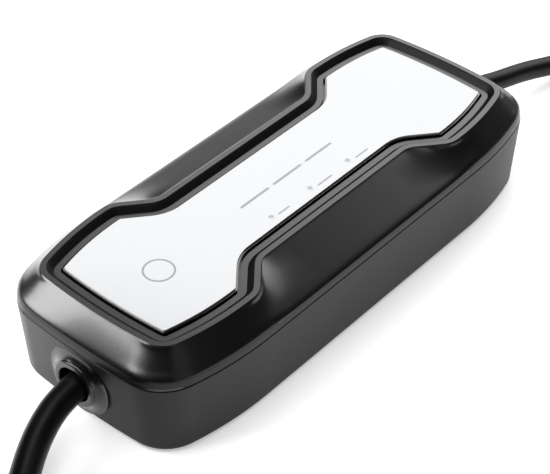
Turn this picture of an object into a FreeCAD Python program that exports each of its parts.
import FreeCAD, Part
import math
import os

# Portable charger for electric cars: a control box in the supply cord of a car, in millimetres.
# The box lies flat. X is its length, from the car cord at -X to the supply cord at +X.
# The origin is the middle of its underside.

# Case, outside
HALF_LENGTH = 120.0
HALF_WIDTH = 50.0
RIM_HEIGHT = 47.8
PARTING_HEIGHT = 34.3
BAND_TOP = 38.5
BAND_LEAN = 0.45
SHOULDER_LENGTH = 54.0
SHOULDER_RADIUS = 152.8
CORNER_RADIUS = 20.0
END_BOW_RADIUS = 360.0
LOWER_DRAFT_DEG = 3.1
UNDERSIDE_ROUND = 3.1
PARTING_ROUND = 0.4
RIM_CHAMFER = 0.35

# Case, walls
WALL = 3.0
FLOOR = 3.0
ROOF_DROP = 3.2

# Front plate and the recess that it stands in
PLATE_TOP = 46.8
SHEET = 0.8
RECESS_FLOOR = 43.4
FLOOR_SLAB = 2.5
PLATE_END = 100.25
PLATE_END_BOW = 281.0
WAIST_HALF = 18.45
WAIST_FILLET = 18.4
STEP_FROM_END = 50.55
STEP_ANGLE = 40.0
LOBE_HALF = 30.9
LOBE_CREST_FROM_END = 33.75
LOBE_BOW = 123.0
PLATE_CORNER = 1.0
TRAY_LIP = 0.7
LAND_START = 1.65
LAND_HEIGHT = 45.3
LAND_END = 4.25
WALL_TOP = 6.2
WALL_TOP_HEIGHT = 47.3
RIM_START = 7.0
RIM_END = 9.7
SCOOP_MARKS = (43.0, 55.0, 61.0)

# Signal lights under the front plate
LIGHT_SPACING = 24.1
LIGHT_Y = -13.6
LIGHT_RADIUS = 1.5
LIGHT_COLLAR_RADIUS = 2.5
LIGHT_COLLAR = 1.0
LIGHT_GAP = 0.3

# Fits
CLEAR = 0.1
SEAT_GAP = 0.3

# Cutting shapes start this far outside what they cut, and the long ones pass right through it
OVER = 1.0
THROUGH = 20.0

# Seal between the halves
SEAL_INSET = 0.9
SEAL_WIDTH = 1.3
SEAL_DEPTH = 1.2

# Case screws, from below
SCREW_RADIUS = 1.5
SCREW_HEAD_RADIUS = 2.8
SCREW_HEAD = 2.4
DRIVE_RADIUS = 1.05
DRIVE_DEPTH = 1.2
SCREW_HOLE_CLEAR = 0.2
BOSS_RADIUS = 5.2
HEAD_WELL_RADIUS = 3.3
HEAD_SEAT = 24.3
INSERT_RADIUS = 2.3
INSERT_LENGTH = 4.2
SCREW_FROM_END = 23.0
SCREW_FROM_SIDE = 18.0
MID_SCREW_FROM_SIDE = 9.5

# Cords
CAR_CORD = 11.5
SUPPLY_CORD = 9.5
CORD_HEIGHT = 18.8
CORD_END_FROM_WALL = 24.0
ARC_REACH = 0.45

# Glands
GLAND_FLARE_RADIUS = 15.5
GLAND_NOSE_RADIUS = 10.6
GLAND_STAND_OUT = 3.7
GLAND_NECK_RADIUS = 10.0
GLAND_FLANGE_RADIUS = 13.0
GLAND_FLANGE = 2.4
GLAND_SLEEVE_RADIUS = 8.8
GLAND_INNER_LENGTH = 14.0
MOUTH_CLEAR = 1.95
MOUTH_DEPTH = 9.5
MOUTH_TAPER = 1.8
GLAND_SKIRT = 1.2
GLAND_FLARE_EDGE = 0.5
GLAND_NOSE_ROUND = 1.1
GLAND_LIP_ROUND = 0.6
GLAND_FLARE_BEND = (0.55, 2.05)

# Cord clamps
CLAMP_FROM_WALL = 20.0
CLAMP_WIDTH = 7.0
CLAMP_THICK = 2.2
CLAMP_SCREW_OFFSET = 12.5
CLAMP_POST_RADIUS = 3.2

# Main board
BOARD_HALF_LENGTH = 75.0
BOARD_HALF_WIDTH = 34.0
BOARD = 1.6
BOARD_HEIGHT = 8.0
BOARD_POST_X = 68.0
BOARD_POST_Y = 28.0
BOARD_POST_RADIUS = 3.4
SMALL_SCREW_RADIUS = 1.25
SMALL_HEAD_RADIUS = 2.3
SMALL_HEAD = 1.5
SMALL_DRIVE_RADIUS = 0.9
SMALL_SCREW_REACH = 4.5

# Indicator board
INDICATOR_HALF_LENGTH = 34.0
INDICATOR_WIDTH = 17.0
INDICATOR_BOARD = 1.2
INDICATOR_TOP = 38.4
INDICATOR_POST_RADIUS = 2.8
INDICATOR_POST_X = 30.0
INDICATOR_SCREW_REACH = 3.0
LAMP_SIZE = (3.2, 2.6, 1.6)

# Parts on the main board: length, width, height, and their middles
TERMINAL_PITCH = 7.0
TERMINAL_LENGTH = 12.0
TERMINAL_HEIGHT = 14.0
TERMINAL_X = 66.0
TERMINAL_WELL = 3.0
TERMINAL_WELL_RADIUS = 2.2
CAR_WAYS = 5
SUPPLY_WAYS = 3
RELAY_SIZE = (30.0, 16.0, 25.0)
RELAY_ROUND = 1.2
RELAY_X = -40.0
RELAY_Y = 15.0
SENSOR_RADIUS = 12.0
SENSOR_BORE = 6.0
SENSOR_FOOT = 16.8
SENSOR_THICK = 10.0
SENSOR_X = -8.0
BRIDGE_RADIUS = 1.5
BRIDGE_Y = 2.6
BRIDGE_HALF = 11.0
BRIDGE_BEND = 4.5
TRANSFORMER_SIZE = (22.0, 24.0, 20.0)
TRANSFORMER_AT = (24.0, 10.0)
CORE_WIDTH = 14.9
BOBBIN_LENGTH = 13.6
BOBBIN_FOOT = 2.0
SMOOTHING_RADIUS = 7.0
SMOOTHING_HEIGHT = 22.0
SMOOTHING_AT = (24.0, -16.0)
CHOKE_RADIUS = 9.0
CHOKE_BORE = 4.0
CHOKE_THICK = 8.0
CHOKE_AT = (47.0, 10.0)
FILTER_SIZE = (17.0, 7.5, 14.0)
FILTER_AT = ((46.0, -8.0), (46.0, -18.5))
PART_EDGE = 1.0
VARISTOR_RADIUS = 6.0
VARISTOR_THICK = 4.5
VARISTOR_AT = (47.0, 27.0)
FUSE_RADIUS = 2.6
FUSE_LENGTH = 20.0
FUSE_AT = (44.0, -28.5)
CLIP_SIZE = (5.0, 6.4, 2.4)
CLIP_GRIP = 3.4
CHIP_SIZE = (12.0, 12.0, 1.6)
CHIP_AT = (-6.0, 23.0)
LINK_SIZE = (10.0, 5.0, 6.0)
LINK_AT = (4.0, -20.0)
RIBBON_WIDTH = 9.0
RIBBON_THICK = 1.0
CORE_RADIUS = 1.3
CORE_REACH = 3.0
CORE_RING = 0.78

# Car cord put away: a tied hank in line with the box
HANK_X = -234.0
HANK_Y = -7.0
HANK_RUN = 173.0
HANK_FOLD_RADIUS = 34.5
HANK_WIDE = 2
HANK_HIGH = 3
TIE_THICK = 0.9
TIE_WIDTH = 16.0
TAIL_FOLD_RADIUS = 40.25
BOOT_SETBACK = 7.0

# Supply cord put away: a small coil
COIL_X = 313.0
COIL_Y = 8.0
COIL_RADIUS = 47.5
COIL_HIGH = 2

# Car connector
SHROUD_RADIUS = 30.0
SHROUD_WALL = 3.2
SHROUD_FLAT = 23.0
SHROUD_LENGTH = 45.0
SOCKET_DEPTH = 20.0
HANDLE_LENGTH = 145.0
HANDLE_WALL = 2.8
HANDLE_MOUTH = 11.0
# Share of the grip's length, half its width and half its height there
HANDLE_STATIONS = (
    (0.0, 15.0, 16.0),
    (0.16, 17.5, 19.5),
    (0.42, 18.5, 21.5),
    (0.66, 20.0, 22.5),
    (0.86, 25.0, 24.0),
    (1.0, 28.0, 25.5),
)
HANDLE_SCREW_SHARES = (0.22, 0.8)
HANDLE_SCREW_Z = 11.5
HANDLE_SCREW_SEAT = 6.0
HANDLE_SCREW_REACH = 7.0
PILLAR_RADIUS = 3.4
BOOT_LENGTH = 45.0
BOOT_COLLAR = 6.0
BOOT_WALL = 1.8
BOOT_GROOVES = 5
GROOVE_WIDTH = 3.0
GROOVE_DEPTH = 1.0
GROOVE_LEAN = 0.5
CONTACT_RADIUS = 3.6
CONTACT_BORE = 3.0
SIGNAL_CONTACT_RADIUS = 2.1
SIGNAL_CONTACT_BORE = 1.5
CONTACT_LENGTH = 22.0
CONTACT_ROOT = 4.0
CONTACT_SETBACK = 1.0
CONTACT_CIRCLE = 15.5
POWER_CONTACT_TURNS = (90.0, 150.0, 210.0, 270.0)
SIGNAL_CONTACT_TURNS = (-32.0, 32.0)

# Supply plug
PLUG_RADIUS = 18.8
PLUG_LENGTH = 38.0
PLUG_BOOT_LENGTH = 26.0
PLUG_PIN_RADIUS = 2.4
PLUG_PIN_LENGTH = 19.0
PLUG_PIN_SPACING = 19.0
PLUG_PIN_ROOT = 14.0
PLUG_PIN_ROUND = 1.4
PLUG_BOOT_WALL = 1.6
PLUG_GROOVES = 3
# Distance from the boot's end along the grip, and the radius there
PLUG_STATIONS = ((0.0, 9.4), (4.0, 13.0), (16.0, 15.2), (20.0, 18.2), (22.0, 18.8))
EARTH_CLIP_WIDTH = 8.0
EARTH_CLIP_DEPTH = 2.0
EARTH_CLIP_LENGTH = 17.0

# Values worked out from the sizes above
ROOF_UNDERSIDE = RECESS_FLOOR - FLOOR_SLAB
DRAFT = math.tan(math.radians(LOWER_DRAFT_DEG))
BOARD_TOP = BOARD_HEIGHT + BOARD
WALL_FACE = HALF_LENGTH - DRAFT * (PARTING_HEIGHT - CORD_HEIGHT)
HANK_FLOOR = TIE_THICK
HANK_TOP = HANK_FLOOR + HANK_HIGH * CAR_CORD
CONNECTOR_Y = HANK_Y - HANK_FOLD_RADIUS - CAR_CORD + 2 * TAIL_FOLD_RADIUS
CONNECTOR_Z = HANK_TOP + SHROUD_RADIUS + SEAT_GAP
BOOT_X = HANK_X - HANK_RUN + BOOT_SETBACK
HANDLE_X = BOOT_X + BOOT_LENGTH
SHROUD_X = HANDLE_X + HANDLE_LENGTH
PLUG_Y = COIL_Y - COIL_RADIUS
PLUG_Z = COIL_HIGH * SUPPLY_CORD + PLUG_RADIUS + SEAT_GAP
PLUG_BOOT_X = COIL_X

# Routes of the cords, chosen by hand
CAR_ROUTE = (
    (-96.0, 0.0, 18.8),
    (-125.8, 0.0, 18.8),
    (-146.7, -5.2, 14.8),
    (-167.6, -17.9, 9.8),
    (-186.9, -30.4, 7.5),
    (-207.0, -43.0, 6.7),
    (-230.0, -51.3, 6.65),
    (-254.0, -53.0, 6.65),
)
CAR_TAIL_ROUTE = (
    (-250.0, -53.0, 31.0),
    (-292.0, -52.4, 41.0),
    (-336.0, -53.5, 51.0),
    (-382.0, -52.8, 60.5),
    (-435.7, -53.0, 65.5),
    (-459.2, -29.5, 65.8),
    (-459.2, 4.0, 65.8),
    (-435.7, 26.9, 65.7),
    (-402.0, 27.5, 65.7),
    (-379.0, 27.5, 65.7),
)
SUPPLY_ROUTE = (
    (96.0, 0.0, 18.8),
    (131.0, 0.0, 18.8),
    (147.5, -4.3, 16.1),
    (168.9, -7.0, 12.2),
    (190.0, -12.6, 7.7),
    (214.0, -16.6, 5.2),
    (240.0, -26.0, 4.8),
    (266.0, -33.0, 4.75),
    (290.0, -38.5, 4.75),
    (312.0, -39.5, 4.75),
)
SUPPLY_TAIL_ROUTE = (
    (311.0, 55.5, 14.5),
    (287.3, 55.5, 17.5),
    (265.2, 42.8, 21.5),
    (252.5, 20.7, 26.0),
    (252.5, -4.7, 30.5),
    (265.2, -26.8, 34.5),
    (287.3, -38.9, 37.3),
    (312.0, -39.5, 38.1),
    (334.0, -39.5, 38.1),
)


def point(x, y, z):
    return FreeCAD.Vector(x, y, z)


def box(x, y, z, length, width, height):
    """A block, with x and y in its middle and z at its underside."""
    return Part.makeBox(length, width, height, point(x - length / 2, y - width / 2, z))


def post(x, y, z, radius, height):
    return Part.makeCylinder(radius, height, point(x, y, z))


def rod(x, y, z, radius, length):
    """A round bar that runs along +X from x."""
    return Part.makeCylinder(radius, length, point(x, y, z), point(1, 0, 0))


def mirrored(shape, normal):
    return shape.mirror(point(0, 0, 0), normal)


def largest(shape):
    return max(shape.Solids, key=lambda solid: solid.Volume)


def save(name, shape):
    shape.exportStep("parts/" + name + ".step")


# Outlines


def circles_meet(centre_a, radius_a, centre_b, radius_b):
    """The upper point at the given distances from two centres."""
    dx = centre_b[0] - centre_a[0]
    dy = centre_b[1] - centre_a[1]
    gap = math.hypot(dx, dy)
    along = (radius_a**2 - radius_b**2 + gap**2) / (2 * gap)
    across = math.sqrt(radius_a**2 - along**2)
    ways = []
    for side in (across, -across):
        x = centre_a[0] + (along * dx - side * dy) / gap
        y = centre_a[1] + (along * dy + side * dx) / gap
        ways.append((x, y))
    return max(ways, key=lambda way: way[1])


def heading(centre, target):
    """The direction from a centre to a target, in degrees from +Y towards +X."""
    return math.degrees(math.atan2(target[0] - centre[0], target[1] - centre[1]))


def body_arcs():
    """A quarter of the body's outline, shoulder, corner and end: centre, radius, first and last angle."""
    shoulder = (HALF_LENGTH - SHOULDER_LENGTH, HALF_WIDTH - SHOULDER_RADIUS)
    end = (HALF_LENGTH - END_BOW_RADIUS, 0.0)
    corner = circles_meet(
        shoulder, SHOULDER_RADIUS - CORNER_RADIUS, end, END_BOW_RADIUS - CORNER_RADIUS
    )
    turn_a = heading(shoulder, corner)
    turn_b = heading(end, corner)
    return [
        (shoulder, SHOULDER_RADIUS, 0.0, turn_a),
        (corner, CORNER_RADIUS, turn_a, turn_b),
        (end, END_BOW_RADIUS, turn_b, 90.0),
    ]


def plate_arcs():
    """A quarter of the front plate's outline: waist fillet, lobe corner and side, end corner and end."""
    slope = math.radians(STEP_ANGLE)
    step_x = PLATE_END - STEP_FROM_END
    fillet_x = step_x - WAIST_FILLET * math.tan(slope / 2)
    waist = (fillet_x, WAIST_HALF + WAIST_FILLET)
    side = (PLATE_END - LOBE_CREST_FROM_END, LOBE_HALF - LOBE_BOW)
    end = (PLATE_END - PLATE_END_BOW, 0.0)
    reach = LOBE_BOW - PLATE_CORNER
    # The lobe corner lies one corner radius inside the step line and the lobe side
    inward = (math.sin(slope), -math.cos(slope))
    start = (step_x + PLATE_CORNER * inward[0], WAIST_HALF + PLATE_CORNER * inward[1])
    run = (math.cos(slope), math.sin(slope))
    back = (start[0] - side[0], start[1] - side[1])
    half = back[0] * run[0] + back[1] * run[1]
    rest = back[0] ** 2 + back[1] ** 2 - reach**2
    far = -half + math.sqrt(half**2 - rest)
    lobe = (start[0] + far * run[0], start[1] + far * run[1])
    tip = circles_meet(side, reach, end, PLATE_END_BOW - PLATE_CORNER)
    turn_a = heading(side, lobe)
    turn_b = heading(side, tip)
    turn_c = heading(end, tip)
    return [
        (waist, -WAIST_FILLET, 0.0, -STEP_ANGLE),
        (lobe, PLATE_CORNER, -STEP_ANGLE, turn_a),
        (side, LOBE_BOW, turn_a, turn_b),
        (tip, PLATE_CORNER, turn_b, turn_c),
        (end, PLATE_END_BOW, turn_c, 90.0),
    ]


def quarter(arcs, offset, marks):
    """Lines and arcs of a quarter outline from the Y axis to the X axis; marks cut its first straight."""
    here = (0.0, arcs[0][0][1] + arcs[0][1] + offset)
    pieces = []
    for mark in marks:
        pieces.append((here, (mark, here[1])))
        here = (mark, here[1])
    for centre, radius, first, last in arcs:
        stops = []
        for turn in (first, (first + last) / 2, last):
            angle = math.radians(turn)
            x = centre[0] + (radius + offset) * math.sin(angle)
            y = centre[1] + (radius + offset) * math.cos(angle)
            stops.append((x, y))
        if math.dist(here, stops[0]) > 1e-6:
            pieces.append((here, stops[0]))
        pieces.append(tuple(stops))
        here = stops[2]
    return pieces


def outline(arcs, offset, z, marks=()):
    """A closed outline at a height, from four mirrored quarters."""
    first = quarter(arcs, offset, marks)
    back = [tuple(reversed(piece)) for piece in reversed(first)]
    edges = []
    for pieces, sx, sy in ((first, 1, 1), (back, 1, -1), (first, -1, -1), (back, -1, 1)):
        for piece in pieces:
            places = [point(sx * x, sy * y, z) for x, y in piece]
            curve = Part.LineSegment(*places) if len(places) == 2 else Part.Arc(*places)
            edges.append(curve.toShape())
    return Part.Wire(edges)


def slab(arcs, offset, low, high):
    """An outline drawn up from one height to another."""
    face = Part.Face(outline(arcs, offset, low))
    return face.extrude(point(0, 0, high - low))


def loft(wires):
    return Part.makeLoft(wires, True, True)


def edges_at(shape, z):
    """The edges of a shape that lie at one height."""
    found = []
    for edge in shape.Edges:
        bounds = edge.BoundBox
        if abs(bounds.ZMin - z) < 1e-4 and abs(bounds.ZMax - z) < 1e-4:
            found.append(edge)
    return found


BODY = body_arcs()
PLATE = plate_arcs()


def screw_places():
    """The six case screws: four near the corners and one at each side's middle."""
    x = HALF_LENGTH - SCREW_FROM_END
    y = HALF_WIDTH - SCREW_FROM_SIDE
    mid = HALF_WIDTH - MID_SCREW_FROM_SIDE
    return [(x, y), (-x, y), (x, -y), (-x, -y), (0.0, mid), (0.0, -mid)]


def board_post_places():
    return [(sx * BOARD_POST_X, sy * BOARD_POST_Y) for sx in (-1, 1) for sy in (-1, 1)]


def light_places():
    return [(side * LIGHT_SPACING, LIGHT_Y) for side in (-1, 0, 1)]


def clamp_places():
    """The middles of the two cord clamps, with the cord that each holds."""
    x = WALL_FACE - CLAMP_FROM_WALL
    return [(-x, CAR_CORD), (x, SUPPLY_CORD)]


# Case


def lower_outside():
    """The outer form of the lower half: drawn in towards the underside, with a rounded lower edge."""
    top = outline(BODY, 0.0, PARTING_HEIGHT)
    bottom = outline(BODY, -DRAFT * PARTING_HEIGHT, 0.0)
    solid = loft([bottom, top])
    solid = solid.makeFillet(UNDERSIDE_ROUND, edges_at(solid, 0.0))
    return solid.makeFillet(PARTING_ROUND, edges_at(solid, PARTING_HEIGHT))


def lower_inside():
    top = outline(BODY, -WALL, PARTING_HEIGHT)
    bottom = outline(BODY, -WALL - DRAFT * (PARTING_HEIGHT - FLOOR), FLOOR)
    return loft([bottom, top])


def seal_ring():
    """The cord of soft rubber in the lower half's edge."""
    low = PARTING_HEIGHT - SEAL_DEPTH
    outer = slab(BODY, -SEAL_INSET, low, PARTING_HEIGHT)
    inner = slab(BODY, -SEAL_INSET - SEAL_WIDTH, low, PARTING_HEIGHT)
    return outer.cut(inner)


def clamp_floor(cord):
    """The height at which a cord's clamp posts end: the cord's underside."""
    return CORD_HEIGHT - cord / 2


def lower_case():
    outside = lower_outside()
    shell = outside.cut(lower_inside())
    posts = []
    for x, y in screw_places():
        posts.append(post(x, y, FLOOR / 2, BOSS_RADIUS, PARTING_HEIGHT - FLOOR / 2))
    for x, y in board_post_places():
        posts.append(post(x, y, FLOOR / 2, BOARD_POST_RADIUS, BOARD_HEIGHT - FLOOR / 2))
    for x, cord in clamp_places():
        top = clamp_floor(cord)
        for y in (-CLAMP_SCREW_OFFSET, CLAMP_SCREW_OFFSET):
            posts.append(post(x, y, FLOOR / 2, CLAMP_POST_RADIUS, top - FLOOR / 2))
        # The cord lies on a bridge between its two posts
        height = top - FLOOR / 2
        posts.append(box(x, 0.0, FLOOR / 2, CLAMP_WIDTH, 2 * CLAMP_SCREW_OFFSET, height))
    shell = shell.fuse([each.common(outside) for each in posts])
    holes = [seal_ring()]
    for x, y in screw_places():
        holes.append(post(x, y, -OVER, HEAD_WELL_RADIUS, HEAD_SEAT + OVER))
        holes.append(post(x, y, HEAD_SEAT - OVER, SCREW_RADIUS + SCREW_HOLE_CLEAR, THROUGH))
    for x, y in board_post_places():
        holes.append(post(x, y, BOARD_HEIGHT - SMALL_SCREW_REACH, SMALL_SCREW_RADIUS, THROUGH))
    for x, cord in clamp_places():
        for y in (-CLAMP_SCREW_OFFSET, CLAMP_SCREW_OFFSET):
            low = clamp_floor(cord) - SMALL_SCREW_REACH
            holes.append(post(x, y, low, SMALL_SCREW_RADIUS, SMALL_SCREW_REACH + OVER))
    for side in (-1, 1):
        start = WALL_FACE - 2 * WALL
        hole = rod(start, 0.0, CORD_HEIGHT, GLAND_NECK_RADIUS, 4 * WALL)
        holes.append(hole if side > 0 else mirrored(hole, point(1, 0, 0)))
    return shell.cut(holes).removeSplitter()


def upper_outside():
    """Band and scooped slopes: from the parting line up to the rim round the recess."""
    low = outline(BODY, 0.0, PARTING_HEIGHT, SCOOP_MARKS)
    band = outline(BODY, -BAND_LEAN, BAND_TOP, SCOOP_MARKS)
    foot = outline(PLATE, RIM_END, RIM_HEIGHT - RIM_CHAMFER)
    rim = outline(PLATE, RIM_END - RIM_CHAMFER, RIM_HEIGHT)
    return loft([low, band]).fuse([loft([band, foot]), loft([foot, rim])])


def upper_inside():
    """The hollow of the upper half, which follows the slopes and ends flat under the recess."""
    under = upper_outside()
    under.translate(point(0, 0, -ROOF_DROP))
    return under.common(slab(BODY, -WALL, PARTING_HEIGHT - OVER, ROOF_UNDERSIDE))


def recess():
    """The hollow round the plate: a narrow channel, a land, a sloped wall and the rim's soft inner edge."""
    land = outline(PLATE, LAND_END, LAND_HEIGHT)
    wall = outline(PLATE, WALL_TOP, WALL_TOP_HEIGHT)
    edge = outline(PLATE, RIM_START, RIM_HEIGHT)
    channel = slab(PLATE, LAND_START, RECESS_FLOOR, RIM_HEIGHT)
    return channel.fuse([loft([land, wall]), loft([wall, edge])])


def indicator_post_places():
    return [(-INDICATOR_POST_X, LIGHT_Y), (INDICATOR_POST_X, LIGHT_Y)]


def upper_case():
    inside = upper_inside()
    shell = upper_outside().cut([inside, recess()])
    posts = []
    for x, y in screw_places():
        posts.append(post(x, y, PARTING_HEIGHT, BOSS_RADIUS, RECESS_FLOOR - PARTING_HEIGHT))
    for x, y in indicator_post_places():
        height = RECESS_FLOOR - INDICATOR_TOP
        posts.append(post(x, y, INDICATOR_TOP, INDICATOR_POST_RADIUS, height))
    room = inside.fuse(slab(PLATE, 0.0, ROOF_UNDERSIDE - OVER, ROOF_UNDERSIDE + OVER))
    shell = shell.fuse([each.common(room) for each in posts])
    holes = []
    for x, y in screw_places():
        holes.append(post(x, y, PARTING_HEIGHT - OVER, INSERT_RADIUS, INSERT_LENGTH + OVER))
    for x, y in indicator_post_places():
        low = INDICATOR_TOP - INDICATOR_BOARD
        holes.append(post(x, y, low, SMALL_SCREW_RADIUS, INDICATOR_SCREW_REACH + SEAT_GAP))
    for x, y in light_places():
        holes.append(post(x, y, ROOF_UNDERSIDE - OVER, LIGHT_RADIUS + CLEAR, THROUGH))
        low = RECESS_FLOOR - LIGHT_COLLAR
        holes.append(post(x, y, low, LIGHT_COLLAR_RADIUS + CLEAR, THROUGH))
    return shell.cut(holes)


def front_plate(lip, low, high):
    """A layer of the front plate, with its three light holes."""
    plate = slab(PLATE, lip, low, high)
    holes = [post(x, y, low - OVER, LIGHT_RADIUS + CLEAR / 2, THROUGH) for x, y in light_places()]
    return plate.cut(holes)


def light_pipe(x, y):
    """A clear rod that carries one signal light up to the front plate, with a collar that holds it."""
    low = INDICATOR_TOP + LAMP_SIZE[2] + LIGHT_GAP
    stem = post(x, y, low, LIGHT_RADIUS, PLATE_TOP - low)
    collar = post(x, y, RECESS_FLOOR - LIGHT_COLLAR, LIGHT_COLLAR_RADIUS, LIGHT_COLLAR)
    return stem.fuse(collar).removeSplitter()


def case_screw(x, y):
    """A pan-head screw, from its seat in the boss up into the insert."""
    head = post(x, y, HEAD_SEAT - SCREW_HEAD, SCREW_HEAD_RADIUS, SCREW_HEAD)
    reach = PARTING_HEIGHT + INSERT_LENGTH - HEAD_SEAT
    shank = post(x, y, HEAD_SEAT, SCREW_RADIUS, reach)
    drive = post(x, y, HEAD_SEAT - SCREW_HEAD - OVER, DRIVE_RADIUS, DRIVE_DEPTH + OVER)
    return head.fuse(shank).cut(drive)


def insert(x, y):
    sleeve = post(x, y, PARTING_HEIGHT, INSERT_RADIUS, INSERT_LENGTH)
    return sleeve.cut(post(x, y, PARTING_HEIGHT - OVER, SCREW_RADIUS, INSERT_LENGTH + 2 * OVER))


# Glands and clamps


def gland(cord, wall):
    """The flared bush in the end wall: nose, neck, inner flange and sleeve, turned about the cord."""
    mouth = cord / 2 + MOUTH_CLEAR
    bore = cord / 2 + CLEAR
    nose = GLAND_NOSE_RADIUS
    out = GLAND_STAND_OUT
    inner = -GLAND_INNER_LENGTH
    flange = -WALL - GLAND_FLANGE - 2 * SEAT_GAP
    floor = out - MOUTH_DEPTH
    places = {
        "back": (inner, bore),
        "sleeve": (inner, GLAND_SLEEVE_RADIUS),
        "root": (flange, GLAND_SLEEVE_RADIUS),
        "flange": (flange, GLAND_FLANGE_RADIUS),
        "flange_top": (-WALL / 2, GLAND_FLANGE_RADIUS),
        "neck_a": (-WALL / 2, GLAND_NECK_RADIUS),
        "neck_b": (-GLAND_SKIRT, GLAND_NECK_RADIUS),
        "skirt": (-GLAND_SKIRT, GLAND_FLARE_RADIUS),
        "flare": (GLAND_FLARE_EDGE, GLAND_FLARE_RADIUS),
        "shoulder": (out - GLAND_NOSE_ROUND, nose),
        "tip": (out, nose - GLAND_NOSE_ROUND),
        "lip": (out, mouth + GLAND_LIP_ROUND),
        "mouth": (out - GLAND_LIP_ROUND, mouth),
        "step": (floor, mouth),
        "throat": (floor - MOUTH_TAPER, bore),
    }
    spots = {name: point(u, 0, r) for name, (u, r) in places.items()}
    soft = 1 - math.sqrt(0.5)
    nose_soft = GLAND_NOSE_ROUND * soft
    lip_soft = GLAND_LIP_ROUND * soft
    bend = point(GLAND_FLARE_EDGE + GLAND_FLARE_BEND[0], 0, nose + GLAND_FLARE_BEND[1])
    round_a = point(out - nose_soft, 0, nose - nose_soft)
    round_b = point(out - lip_soft, 0, mouth + lip_soft)
    chain = ["back", "sleeve", "root", "flange", "flange_top", "neck_a", "neck_b", "skirt", "flare"]
    edges = [
        Part.LineSegment(spots[a], spots[b]).toShape() for a, b in zip(chain, chain[1:])
    ]
    edges.append(Part.Arc(spots["flare"], bend, spots["shoulder"]).toShape())
    edges.append(Part.Arc(spots["shoulder"], round_a, spots["tip"]).toShape())
    edges.append(Part.LineSegment(spots["tip"], spots["lip"]).toShape())
    edges.append(Part.Arc(spots["lip"], round_b, spots["mouth"]).toShape())
    edges.append(Part.LineSegment(spots["mouth"], spots["step"]).toShape())
    edges.append(Part.LineSegment(spots["step"], spots["throat"]).toShape())
    edges.append(Part.LineSegment(spots["throat"], spots["back"]).toShape())
    bush = Part.Face(Part.Wire(edges)).revolve(point(0, 0, 0), point(1, 0, 0), 360)
    bush.translate(point(WALL_FACE, 0, CORD_HEIGHT))
    if cord == CAR_CORD:
        bush = mirrored(bush, point(1, 0, 0))
    return largest(bush.cut(wall))


def cord_clamp(x, cord):
    """The saddle over a cord, screwed to its two posts."""
    low = clamp_floor(cord)
    half = CLAMP_SCREW_OFFSET + CLAMP_POST_RADIUS
    feet = box(x, 0.0, low, CLAMP_WIDTH, 2 * half, CLAMP_THICK)
    arch = rod(x - CLAMP_WIDTH / 2, 0.0, CORD_HEIGHT, cord / 2 + CLAMP_THICK, CLAMP_WIDTH)
    arch = arch.common(box(x, 0.0, low, CLAMP_WIDTH, 2 * half, cord + 2 * CLAMP_THICK))
    side = cord / 2 + CLAMP_THICK
    cheeks = box(x, 0.0, low, CLAMP_WIDTH, 2 * side, cord / 2)
    hollow = rod(x - CLAMP_WIDTH, 0.0, CORD_HEIGHT, cord / 2 + CLEAR / 2, 2 * CLAMP_WIDTH)
    slot = box(x, 0.0, low - OVER, 2 * CLAMP_WIDTH, cord + CLEAR, OVER + cord / 2)
    cuts = [hollow, slot]
    for y in (-CLAMP_SCREW_OFFSET, CLAMP_SCREW_OFFSET):
        cuts.append(post(x, y, low - OVER, SMALL_SCREW_RADIUS + CLEAR, THROUGH))
    return feet.fuse([arch, cheeks]).cut(cuts).removeSplitter()


def small_screw(x, y, seat, reach):
    """A small pan-head screw that is driven down from its seat."""
    head = post(x, y, seat, SMALL_HEAD_RADIUS, SMALL_HEAD)
    shank = post(x, y, seat - reach, SMALL_SCREW_RADIUS, reach)
    drive = post(x, y, seat + SMALL_HEAD / 2, SMALL_DRIVE_RADIUS, SMALL_HEAD)
    return head.fuse(shank).cut(drive)


def clamp_screws():
    screws = []
    for x, cord in clamp_places():
        for y in (-CLAMP_SCREW_OFFSET, CLAMP_SCREW_OFFSET):
            seat = clamp_floor(cord) + CLAMP_THICK
            screws.append(small_screw(x, y, seat, SMALL_SCREW_REACH))
    return Part.makeCompound(screws)


# Boards and what they carry


def main_board():
    board = box(0.0, 0.0, BOARD_HEIGHT, 2 * BOARD_HALF_LENGTH, 2 * BOARD_HALF_WIDTH, BOARD)
    holes = [post(x, y, 0.0, SMALL_SCREW_RADIUS + CLEAR, THROUGH) for x, y in board_post_places()]
    return board.cut(holes)


def board_screws():
    screws = [
        small_screw(x, y, BOARD_TOP, SMALL_SCREW_REACH) for x, y in board_post_places()
    ]
    low = INDICATOR_TOP - INDICATOR_BOARD
    for x, y in indicator_post_places():
        screw = small_screw(x, -y, -low, INDICATOR_SCREW_REACH)
        screws.append(screw.rotate(point(0, 0, 0), point(1, 0, 0), 180))
    return Part.makeCompound(screws)


def indicator_board():
    low = INDICATOR_TOP - INDICATOR_BOARD
    board = box(0.0, LIGHT_Y, low, 2 * INDICATOR_HALF_LENGTH, INDICATOR_WIDTH, INDICATOR_BOARD)
    places = indicator_post_places()
    return board.cut([post(x, y, low - OVER, SMALL_SCREW_RADIUS + CLEAR, THROUGH) for x, y in places])


def indicator_lights():
    return Part.makeCompound([box(x, y, INDICATOR_TOP, *LAMP_SIZE) for x, y in light_places()])


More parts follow.
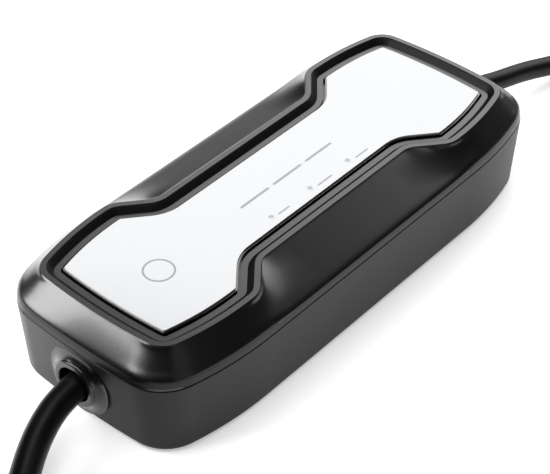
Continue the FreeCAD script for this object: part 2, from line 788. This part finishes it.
def terminal_block(side, ways):
    """A row of screw terminals, with wire mouths towards its cord and screw wells on top."""
    x = side * TERMINAL_X
    width = ways * TERMINAL_PITCH
    block = box(x, 0.0, BOARD_TOP, TERMINAL_LENGTH, width, TERMINAL_HEIGHT)
    face = x + side * TERMINAL_LENGTH / 2
    cuts = []
    for way in range(ways):
        y = (way - (ways - 1) / 2) * TERMINAL_PITCH
        low = BOARD_TOP + TERMINAL_HEIGHT - TERMINAL_WELL
        cuts.append(post(x, y, low, TERMINAL_WELL_RADIUS, THROUGH))
        depth = TERMINAL_LENGTH / 3
        cuts.append(rod(face - depth, y, terminal_height(), CORE_RADIUS + CLEAR, 2 * depth))
    return block.cut(cuts)


def terminal_height():
    return BOARD_TOP + TERMINAL_HEIGHT / 2


def conductors(side, ways, cord):
    """The insulated cores, fanned from the cord's end to their terminals in two bends each."""
    start_x = side * (WALL_FACE - CORD_END_FROM_WALL)
    mouth_x = side * (TERMINAL_X + TERMINAL_LENGTH / 2 + CORE_RADIUS)
    end_x = side * (TERMINAL_X + TERMINAL_LENGTH / 2 - CORE_REACH)
    cores = []
    for way in range(ways):
        share = way - (ways - 1) / 2
        spread = math.pi * (way + 0.5) / ways
        ring = (cord / 2 - CORE_RADIUS) * CORE_RING
        drop = ring * math.sin(spread) / 2
        start = point(start_x, -ring * math.cos(spread), CORD_HEIGHT - drop)
        mouth = point(mouth_x, share * TERMINAL_PITCH, terminal_height())
        end = point(end_x, share * TERMINAL_PITCH, terminal_height())
        cores.append(core_between(start, mouth, end))
    return Part.makeCompound(cores)


def core_between(start, mouth, end):
    """A core that bends in two equal arcs from the cord to its terminal, and runs straight into it."""
    run = point(mouth.x - start.x, 0, 0)
    shift = point(0, mouth.y - start.y, mouth.z - start.z)
    across = shift.Length
    last = Part.LineSegment(mouth, end).toShape()
    if across < CLEAR / 2:
        path = Part.Wire([Part.LineSegment(start, mouth).toShape(), last])
    else:
        length = run.Length
        radius = (length**2 + across**2) / (4 * across)
        middle = (start + mouth) * 0.5
        side = shift * (1 / across)
        turn = math.asin(length / 2 / radius)
        forward = run * (1 / length)
        dip = radius * (1 - math.cos(turn / 2))
        reach = radius * math.sin(turn / 2)
        first = start + forward * reach + side * dip
        second = mouth - forward * reach - side * dip
        bends = [Part.Arc(start, first, middle), Part.Arc(middle, second, mouth)]
        path = Part.Wire([bend.toShape() for bend in bends] + [last])
    ring = Part.Wire([Part.makeCircle(CORE_RADIUS, start, point(1, 0, 0))])
    return path.makePipeShell([ring], True, False)


def relay(y):
    """A sealed power relay with rounded upright edges."""
    length, width, height = RELAY_SIZE
    body = box(RELAY_X, y, BOARD_TOP, length, width, height)
    upright = [edge for edge in body.Edges if abs(edge.BoundBox.ZLength - height) < 1e-6]
    return body.makeFillet(RELAY_ROUND, upright)


def current_sensor():
    """The ring that compares the current in both bridges, standing on edge on its foot."""
    z = BOARD_TOP + SENSOR_RADIUS
    start = SENSOR_X - SENSOR_THICK / 2
    ring = rod(start, 0.0, z, SENSOR_RADIUS, SENSOR_THICK)
    foot = box(SENSOR_X, 0.0, BOARD_TOP, SENSOR_THICK, SENSOR_FOOT, SENSOR_RADIUS / 2)
    return ring.fuse(foot).cut(rod(start - OVER, 0.0, z, SENSOR_BORE, SENSOR_THICK + 2 * OVER))


def sensor_bridges():
    """Two stiff insulated wires, bent like staples, that pass through the ring."""
    z = BOARD_TOP + SENSOR_RADIUS
    bend = BRIDGE_BEND
    soft = bend * (1 - math.sqrt(0.5))
    wires = []
    for y in (-BRIDGE_Y, BRIDGE_Y):
        left = SENSOR_X - BRIDGE_HALF
        right = SENSOR_X + BRIDGE_HALF
        path = Part.Wire(
            [
                Part.LineSegment(point(left, y, BOARD_TOP), point(left, y, z - bend)).toShape(),
                Part.Arc(
                    point(left, y, z - bend),
                    point(left + soft, y, z - soft),
                    point(left + bend, y, z),
                ).toShape(),
                Part.LineSegment(point(left + bend, y, z), point(right - bend, y, z)).toShape(),
                Part.Arc(
                    point(right - bend, y, z),
                    point(right - soft, y, z - soft),
                    point(right, y, z - bend),
                ).toShape(),
                Part.LineSegment(point(right, y, z - bend), point(right, y, BOARD_TOP)).toShape(),
            ]
        )
        ring = Part.Wire([Part.makeCircle(BRIDGE_RADIUS, point(left, y, BOARD_TOP))])
        wires.append(path.makePipeShell([ring], True, False))
    return Part.makeCompound(wires)


def transformer():
    """A block of stacked iron round a bobbin that stands proud on both sides."""
    length, width, height = TRANSFORMER_SIZE
    x, y = TRANSFORMER_AT
    core = box(x, y, BOARD_TOP + BOBBIN_FOOT, length, CORE_WIDTH, height - BOBBIN_FOOT)
    bobbin = box(x, y, BOARD_TOP, BOBBIN_LENGTH, width, height - 2 * BOBBIN_FOOT)
    return core.fuse(bobbin).removeSplitter()


def smoothing_capacitor():
    x, y = SMOOTHING_AT
    can = post(x, y, BOARD_TOP, SMOOTHING_RADIUS, SMOOTHING_HEIGHT)
    return can.makeChamfer(PART_EDGE, edges_at(can, BOARD_TOP + SMOOTHING_HEIGHT))


def choke():
    """A wound ring that lies flat on the board."""
    x, y = CHOKE_AT
    ring = post(x, y, BOARD_TOP, CHOKE_RADIUS, CHOKE_THICK)
    ring = ring.cut(post(x, y, BOARD_TOP - OVER, CHOKE_BORE, CHOKE_THICK + 2 * OVER))
    return ring.makeChamfer(PART_EDGE, edges_at(ring, BOARD_TOP + CHOKE_THICK))


def filter_capacitors():
    length, width, height = FILTER_SIZE
    return Part.makeCompound([box(x, y, BOARD_TOP, length, width, height) for x, y in FILTER_AT])


def varistor():
    """A flat disc on edge, with its lower rim on the board."""
    x, y = VARISTOR_AT
    start = point(x, y - VARISTOR_THICK / 2, BOARD_TOP + VARISTOR_RADIUS)
    disc = Part.makeCylinder(VARISTOR_RADIUS, VARISTOR_THICK, start, point(0, 1, 0))
    return disc.makeChamfer(PART_EDGE, [edge for edge in disc.Edges if edge.Closed])


def fuse_height():
    return BOARD_TOP + CLIP_SIZE[2] + FUSE_RADIUS


def fuse():
    x, y = FUSE_AT
    return rod(x - FUSE_LENGTH / 2, y, fuse_height(), FUSE_RADIUS, FUSE_LENGTH)


def fuse_clips():
    """Two sprung clips that hold the fuse at its caps."""
    x, y = FUSE_AT
    length, width, rise = CLIP_SIZE
    clips = []
    for side in (-1, 1):
        middle = x + side * (FUSE_LENGTH - length) / 2
        clip = box(middle, y, BOARD_TOP, length, width, rise + CLIP_GRIP)
        gap = rod(middle - length, y, fuse_height(), FUSE_RADIUS + CLEAR / 2, 2 * length)
        clips.append(clip.cut(gap))
    return Part.makeCompound(clips)


def controller_chip():
    x, y = CHIP_AT
    return box(x, y, BOARD_TOP, *CHIP_SIZE)


def link_header():
    x, y = LINK_AT
    return box(x, y, BOARD_TOP, *LINK_SIZE)


def link_ribbon():
    """The flat ribbon from the header up to the indicator board."""
    x, y = LINK_AT
    low = BOARD_TOP + LINK_SIZE[2]
    high = INDICATOR_TOP - INDICATOR_BOARD
    return box(x, y, low, RIBBON_WIDTH, RIBBON_THICK, high - low)


# Cords


def cord_path(route):
    """Straight runs and the largest tangent arcs that they allow, with the arcs' radii."""
    corners = [point(*place) for place in route]
    edges = []
    radii = []
    here = corners[0]
    for before, corner, after in zip(corners, corners[1:], corners[2:]):
        back = before - corner
        ahead = after - corner
        turn = math.pi - back.getAngle(ahead)
        reach = ARC_REACH * min(back.Length, ahead.Length)
        radii.append(reach / math.tan(turn / 2))
        back.normalize()
        ahead.normalize()
        enter = corner + back * reach
        leave = corner + ahead * reach
        inward = back + ahead
        inward.normalize()
        to_centre = radii[-1] / math.cos(turn / 2)
        middle = corner + inward * (to_centre - radii[-1])
        edges.append(Part.LineSegment(here, enter).toShape())
        edges.append(Part.Arc(enter, middle, leave).toShape())
        here = leave
    edges.append(Part.LineSegment(here, corners[-1]).toShape())
    return Part.Wire(edges), radii


def swept(path, diameter):
    first = path.Edges[0]
    start = first.valueAt(first.FirstParameter)
    ring = Part.Wire([Part.makeCircle(diameter / 2, start, first.tangentAt(first.FirstParameter))])
    return path.makePipeShell([ring], True, False)


def cord_tube(name, route, diameter):
    path, radii = cord_path(route)
    tube = swept(path, diameter)
    share = tube.Volume / (math.pi * diameter**2 / 4 * path.Length)
    print(name, "bend radii in diameters", [round(radius / diameter, 1) for radius in radii])
    print(name, "length", round(path.Length, 1), "volume share", round(share, 4))
    return tube


def cord_rooms(routes, diameter):
    """The room that the free ends of a cord take in its own hank or coil."""
    return [swept(cord_path(route)[0], diameter + 2 * CLEAR) for route in routes]


def hank_outline(x, offset):
    """The track of one turn of the hank: two straight sides and two round folds."""
    radius = HANK_FOLD_RADIUS + offset
    right = HANK_X
    left = HANK_X - HANK_RUN
    low = HANK_Y - radius
    high = HANK_Y + radius
    return Part.Wire(
        [
            Part.LineSegment(point(right, low, x), point(left, low, x)).toShape(),
            Part.Arc(
                point(left, low, x), point(left - radius, HANK_Y, x), point(left, high, x)
            ).toShape(),
            Part.LineSegment(point(left, high, x), point(right, high, x)).toShape(),
            Part.Arc(
                point(right, high, x), point(right + radius, HANK_Y, x), point(right, low, x)
            ).toShape(),
        ]
    )


def car_hank():
    """The outer form of all the turns of the hank."""
    lift = point(0, 0, HANK_TOP - HANK_FLOOR)
    outer = Part.Face(hank_outline(HANK_FLOOR, CAR_CORD * (HANK_WIDE - 0.5))).extrude(lift)
    inner = Part.Face(hank_outline(HANK_FLOOR, -CAR_CORD / 2)).extrude(lift)
    return outer.cut(inner)


def coil_circle(radius):
    """A circle round the coil's middle, in two half arcs."""
    left = point(COIL_X - radius, COIL_Y, 0.0)
    right = point(COIL_X + radius, COIL_Y, 0.0)
    front = Part.Arc(left, point(COIL_X, COIL_Y - radius, 0.0), right)
    back = Part.Arc(right, point(COIL_X, COIL_Y + radius, 0.0), left)
    return Part.Wire([front.toShape(), back.toShape()])


def supply_coil():
    """The outer form of all the turns of the coil."""
    lift = point(0, 0, COIL_HIGH * SUPPLY_CORD)
    outer = Part.Face(coil_circle(COIL_RADIUS + SUPPLY_CORD / 2)).extrude(lift)
    inner = Part.Face(coil_circle(COIL_RADIUS - SUPPLY_CORD / 2)).extrude(lift)
    return outer.cut(inner)


def cord_ties():
    """Two straps round the sides of the hank."""
    ties = []
    x = HANK_X - HANK_RUN / 2
    wide = HANK_WIDE * CAR_CORD
    high = HANK_HIGH * CAR_CORD
    middle = HANK_FOLD_RADIUS + CAR_CORD * (HANK_WIDE - 1) / 2
    for side in (-1, 1):
        y = HANK_Y + side * middle
        strap = box(x, y, 0.0, TIE_WIDTH, wide + 2 * TIE_THICK, high + 2 * TIE_THICK)
        along = [edge for edge in strap.Edges if abs(edge.BoundBox.XLength - TIE_WIDTH) < 1e-6]
        strap = strap.makeFillet(2 * TIE_THICK, along)
        ties.append(strap.cut(box(x, y, TIE_THICK, 2 * TIE_WIDTH, wide, high)))
    return ties


# Car connector, on the end of the hank


def shroud_section(radius, flat, x, length):
    """A round bar along X with its top cut flat."""
    bar = rod(x, CONNECTOR_Y, CONNECTOR_Z, radius, length)
    side = 2 * radius
    middle = x + length / 2
    keep = box(middle, CONNECTOR_Y, CONNECTOR_Z - side, 2 * length, 2 * side, side + flat)
    return bar.common(keep)


def connector_shroud():
    outer = shroud_section(SHROUD_RADIUS, SHROUD_FLAT, SHROUD_X, SHROUD_LENGTH)
    inner_radius = SHROUD_RADIUS - SHROUD_WALL
    inner_flat = SHROUD_FLAT - SHROUD_WALL
    inner = shroud_section(inner_radius, inner_flat, SHROUD_X - OVER, SHROUD_LENGTH + 2 * OVER)
    return outer.cut(inner)


def contact_places():
    """Five large contacts, one in the middle, and two small ones above."""
    places = [(0.0, 0.0, True)]
    for turn in POWER_CONTACT_TURNS:
        angle = math.radians(turn)
        y = CONTACT_CIRCLE * math.sin(angle)
        z = CONTACT_CIRCLE * math.cos(angle)
        places.append((y, z, True))
    for turn in SIGNAL_CONTACT_TURNS:
        angle = math.radians(turn)
        y = CONTACT_CIRCLE * math.sin(angle)
        z = CONTACT_CIRCLE * math.cos(angle)
        places.append((y, z, False))
    return places


def holder_length():
    return SHROUD_LENGTH - SOCKET_DEPTH


def contact_holder():
    """The insulating block behind the socket, bored for the contacts."""
    radius = SHROUD_RADIUS - SHROUD_WALL - CLEAR
    flat = SHROUD_FLAT - SHROUD_WALL - CLEAR
    block = shroud_section(radius, flat, SHROUD_X, holder_length())
    holes = []
    for y, z, large in contact_places():
        bore = CONTACT_RADIUS if large else SIGNAL_CONTACT_RADIUS
        place = (SHROUD_X - OVER, CONNECTOR_Y + y, CONNECTOR_Z + z)
        holes.append(rod(*place, bore + CLEAR / 2, holder_length() + 2 * OVER))
    return block.cut(holes)


def connector_contacts():
    contacts = []
    start = SHROUD_X + holder_length() - CONTACT_LENGTH - CONTACT_SETBACK
    for y, z, large in contact_places():
        outer = CONTACT_RADIUS if large else SIGNAL_CONTACT_RADIUS
        bore = CONTACT_BORE if large else SIGNAL_CONTACT_BORE
        place = (CONNECTOR_Y + y, CONNECTOR_Z + z)
        sleeve = rod(start, *place, outer, CONTACT_LENGTH)
        contacts.append(sleeve.cut(rod(start + CONTACT_ROOT, *place, bore, CONTACT_LENGTH)))
    return Part.makeCompound(contacts)


def handle_loft(inset):
    """The grip: ellipses that swell from the boot to the shroud."""
    rings = []
    for share, half_width, half_height in HANDLE_STATIONS:
        x = HANDLE_X + share * HANDLE_LENGTH
        wide = half_width - inset
        high = half_height - inset
        turn = FreeCAD.Rotation(point(0, 1, 0), 90)
        ellipse = Part.Ellipse(point(0, 0, 0), max(wide, high), min(wide, high))
        edge = ellipse.toShape()
        if wide >= high:
            edge.rotate(point(0, 0, 0), point(0, 0, 1), 90)
        edge.Placement = FreeCAD.Placement(
            point(x, CONNECTOR_Y, CONNECTOR_Z), turn
        ).multiply(edge.Placement)
        rings.append(Part.Wire([edge]))
    return Part.makeLoft(rings, True, False)


def cross_rod(x, y, z, radius, length):
    """A round bar that runs along Y from y."""
    return Part.makeCylinder(radius, length, point(x, y, z), point(0, 1, 0))


def handle_half(side):
    """One moulded half of the grip, open at the boot and closed against the contact holder."""
    shell = handle_loft(0.0).cut(handle_loft(HANDLE_WALL))
    mouth = rod(HANDLE_X - OVER, CONNECTOR_Y, CONNECTOR_Z, HANDLE_MOUTH, THROUGH)
    side_y = CONNECTOR_Y + side * SHROUD_RADIUS
    low = CONNECTOR_Z - SHROUD_RADIUS
    middle = HANDLE_X + HANDLE_LENGTH / 2
    keep = box(middle, side_y, low, 2 * HANDLE_LENGTH, 2 * SHROUD_RADIUS, 2 * SHROUD_RADIUS)
    room = handle_loft(HANDLE_WALL / 2)
    pillars = []
    cuts = []
    for x, z in handle_screw_places():
        start = CONNECTOR_Y if side > 0 else CONNECTOR_Y - SHROUD_RADIUS
        pillars.append(cross_rod(x, start, z, PILLAR_RADIUS, SHROUD_RADIUS).common(room))
        if side > 0:
            # The screws end blind inside the far half
            depth = HANDLE_SCREW_REACH + OVER
            cuts.append(cross_rod(x, CONNECTOR_Y, z, SCREW_RADIUS, depth))
        else:
            seat = CONNECTOR_Y - HANDLE_SCREW_SEAT
            cuts.append(cross_rod(x, seat, z, SCREW_RADIUS, HANDLE_SCREW_SEAT))
            far = seat - SHROUD_RADIUS
            cuts.append(cross_rod(x, far, z, SCREW_HEAD_RADIUS + SCREW_HOLE_CLEAR, SHROUD_RADIUS))
    return shell.cut(mouth).common(keep).fuse(pillars).cut(cuts)


def handle_screw_places():
    """Four screws that hold the two halves of the grip together."""
    places = []
    for share in HANDLE_SCREW_SHARES:
        for z in (-HANDLE_SCREW_Z, HANDLE_SCREW_Z):
            places.append((HANDLE_X + share * HANDLE_LENGTH, CONNECTOR_Z + z))
    return places


def handle_screws():
    screws = []
    for x, z in handle_screw_places():
        seat = CONNECTOR_Y - HANDLE_SCREW_SEAT
        shank = cross_rod(x, seat, z, SCREW_RADIUS, HANDLE_SCREW_SEAT + HANDLE_SCREW_REACH)
        head = cross_rod(x, seat - SCREW_HEAD, z, SCREW_HEAD_RADIUS, SCREW_HEAD)
        screws.append(shank.fuse(head))
    return Part.makeCompound(screws)


def turned(profile):
    """A solid turned about the X axis from corner points (x, radius)."""
    corners = [point(x, 0, radius) for x, radius in profile]
    wire = Part.makePolygon(corners + [corners[0]])
    return Part.Face(wire).revolve(point(0, 0, 0), point(1, 0, 0), 360)


def ringed(start, radius, pitch, count, swell):
    """Corner points of a sleeve that swells evenly, with grooves cut round it."""
    corners = []
    for ring in range(count):
        x = start + ring * pitch
        here = radius + ring * swell
        corners.append((x, here))
        corners.append((x + GROOVE_LEAN, here - GROOVE_DEPTH))
        corners.append((x + GROOVE_WIDTH - GROOVE_LEAN, here - GROOVE_DEPTH))
        corners.append((x + GROOVE_WIDTH, here))
    return corners


def connector_boot():
    """The soft tapered sleeve at the back of the grip, with grooves round it, and a collar inside."""
    bore = CAR_CORD / 2 + CLEAR
    rear = bore + BOOT_WALL
    front = HANDLE_MOUTH - CLEAR
    pitch = BOOT_LENGTH / (BOOT_GROOVES + 1)
    swell = (front - rear) / BOOT_GROOVES
    profile = [(0.0, bore), (0.0, rear)]
    profile += ringed(pitch / 2, rear, pitch, BOOT_GROOVES, swell)
    end = BOOT_LENGTH + BOOT_COLLAR
    profile += [(BOOT_LENGTH, front), (end, front), (end, bore)]
    boot = turned(profile)
    boot.translate(point(BOOT_X, CONNECTOR_Y, CONNECTOR_Z))
    return boot


# Supply plug, on the end of the coil


def plug_body():
    """The moulded plug: ringed boot, waist, grip and round face with a notch for each earth clip."""
    bore = SUPPLY_CORD / 2 + CLEAR
    rear = bore + PLUG_BOOT_WALL
    face = PLUG_BOOT_LENGTH + PLUG_LENGTH
    pitch = PLUG_BOOT_LENGTH / (PLUG_GROOVES + 1)
    swell = (PLUG_STATIONS[0][1] - rear) / PLUG_GROOVES
    profile = [(0.0, bore), (0.0, rear)]
    profile += ringed(pitch / 2, rear, pitch, PLUG_GROOVES, swell)
    profile += [(PLUG_BOOT_LENGTH + along, radius) for along, radius in PLUG_STATIONS]
    profile += [(face, PLUG_RADIUS), (face, 0.0), (PLUG_BOOT_LENGTH, 0.0), (PLUG_BOOT_LENGTH, bore)]
    body = turned(profile)
    cuts = []
    for side in (-1, 1):
        y = side * PLUG_PIN_SPACING / 2
        cuts.append(rod(face - PLUG_PIN_ROOT, y, 0.0, PLUG_PIN_RADIUS, PLUG_PIN_ROOT + OVER))
        z = side * (PLUG_RADIUS - EARTH_CLIP_DEPTH / 2)
        low = z - EARTH_CLIP_DEPTH / 2
        start = face - EARTH_CLIP_LENGTH / 2
        cuts.append(box(start, 0.0, low, EARTH_CLIP_LENGTH, EARTH_CLIP_WIDTH, EARTH_CLIP_DEPTH))
    body = body.cut(cuts)
    body.translate(point(PLUG_BOOT_X, PLUG_Y, PLUG_Z))
    return body


def plug_face_x():
    return PLUG_BOOT_X + PLUG_BOOT_LENGTH + PLUG_LENGTH


def plug_pins():
    pins = []
    for side in (-1, 1):
        y = PLUG_Y + side * PLUG_PIN_SPACING / 2
        start = plug_face_x() - PLUG_PIN_ROOT
        pin = rod(start, y, PLUG_Z, PLUG_PIN_RADIUS, PLUG_PIN_ROOT + PLUG_PIN_LENGTH)
        tip = plug_face_x() + PLUG_PIN_LENGTH
        ends = [edge for edge in pin.Edges if abs(edge.BoundBox.XMin - tip) < 1e-4]
        pins.append(pin.makeFillet(PLUG_PIN_ROUND, ends))
    return Part.makeCompound(pins)


def earth_clips():
    """The two earth contacts, flush in the sides of the plug's face."""
    clips = []
    for side in (-1, 1):
        z = side * (PLUG_RADIUS - EARTH_CLIP_DEPTH / 2)
        low = z - EARTH_CLIP_DEPTH / 2
        start = plug_face_x() - EARTH_CLIP_LENGTH / 4
        width = EARTH_CLIP_WIDTH - CLEAR
        length = EARTH_CLIP_LENGTH / 2
        clip = box(start, PLUG_Y, PLUG_Z + low, length, width, EARTH_CLIP_DEPTH)
        round_bar = rod(start - length, PLUG_Y, PLUG_Z, PLUG_RADIUS, 2 * length)
        clips.append(clip.common(round_bar))
    return Part.makeCompound(clips)


def main():
    os.makedirs("parts", exist_ok=True)
    base = lower_case()
    save("lower_case", base)
    save("upper_case", upper_case())
    save("plate_carrier", front_plate(TRAY_LIP, RECESS_FLOOR, PLATE_TOP - SHEET))
    save("front_plate", front_plate(0.0, PLATE_TOP - SHEET, PLATE_TOP))
    save("case_seal", seal_ring())
    for name, (x, y) in zip(("left", "middle", "right"), light_places()):
        save("light_pipe_" + name, light_pipe(x, y))
    save("case_screws", Part.makeCompound([case_screw(x, y) for x, y in screw_places()]))
    save("threaded_inserts", Part.makeCompound([insert(x, y) for x, y in screw_places()]))
    save("car_cord_gland", gland(CAR_CORD, base))
    save("supply_cord_gland", gland(SUPPLY_CORD, base))
    (car_x, _), (supply_x, _) = clamp_places()
    save("car_cord_clamp", cord_clamp(car_x, CAR_CORD))
    save("supply_cord_clamp", cord_clamp(supply_x, SUPPLY_CORD))
    save("clamp_screws", clamp_screws())
    save("main_board", main_board())
    save("board_screws", board_screws())
    save("indicator_board", indicator_board())
    save("indicator_lights", indicator_lights())
    save("car_terminals", terminal_block(-1, CAR_WAYS))
    save("supply_terminals", terminal_block(1, SUPPLY_WAYS))
    save("car_conductors", conductors(-1, CAR_WAYS, CAR_CORD))
    save("supply_conductors", conductors(1, SUPPLY_WAYS, SUPPLY_CORD))
    save("line_relay", relay(RELAY_Y))
    save("neutral_relay", relay(-RELAY_Y))
    save("current_sensor", current_sensor())
    save("sensor_bridges", sensor_bridges())
    save("transformer", transformer())
    save("smoothing_capacitor", smoothing_capacitor())
    save("choke", choke())
    save("filter_capacitors", filter_capacitors())
    save("varistor", varistor())
    save("fuse", fuse())
    save("fuse_clips", fuse_clips())
    save("controller_chip", controller_chip())
    save("link_header", link_header())
    save("link_ribbon", link_ribbon())
    car_cord = cord_tube("car_cord", CAR_ROUTE, CAR_CORD)
    car_tail = cord_tube("car_cord_tail", CAR_TAIL_ROUTE, CAR_CORD)
    save("car_cord", car_cord)
    save("car_cord_tail", car_tail)
    rooms = cord_rooms((CAR_ROUTE, CAR_TAIL_ROUTE), CAR_CORD)
    save("car_cord_hank", car_hank().cut(rooms))
    ties = [tie.cut(rooms) for tie in cord_ties()]
    save("cord_ties", Part.makeCompound(ties))
    supply_cord = cord_tube("supply_cord", SUPPLY_ROUTE, SUPPLY_CORD)
    supply_tail = cord_tube("supply_cord_tail", SUPPLY_TAIL_ROUTE, SUPPLY_CORD)
    save("supply_cord", supply_cord)
    save("supply_cord_tail", supply_tail)
    rooms = cord_rooms((SUPPLY_ROUTE, SUPPLY_TAIL_ROUTE), SUPPLY_CORD)
    save("supply_cord_coil", supply_coil().cut(rooms))
    save("connector_shroud", connector_shroud())
    save("contact_holder", contact_holder())
    save("connector_contacts", connector_contacts())
    save("handle_left_half", handle_half(1))
    save("handle_right_half", handle_half(-1))
    save("handle_screws", handle_screws())
    save("connector_boot", connector_boot())
    save("plug_body", plug_body())
    save("plug_pins", plug_pins())
    save("earth_clips", earth_clips())


main()
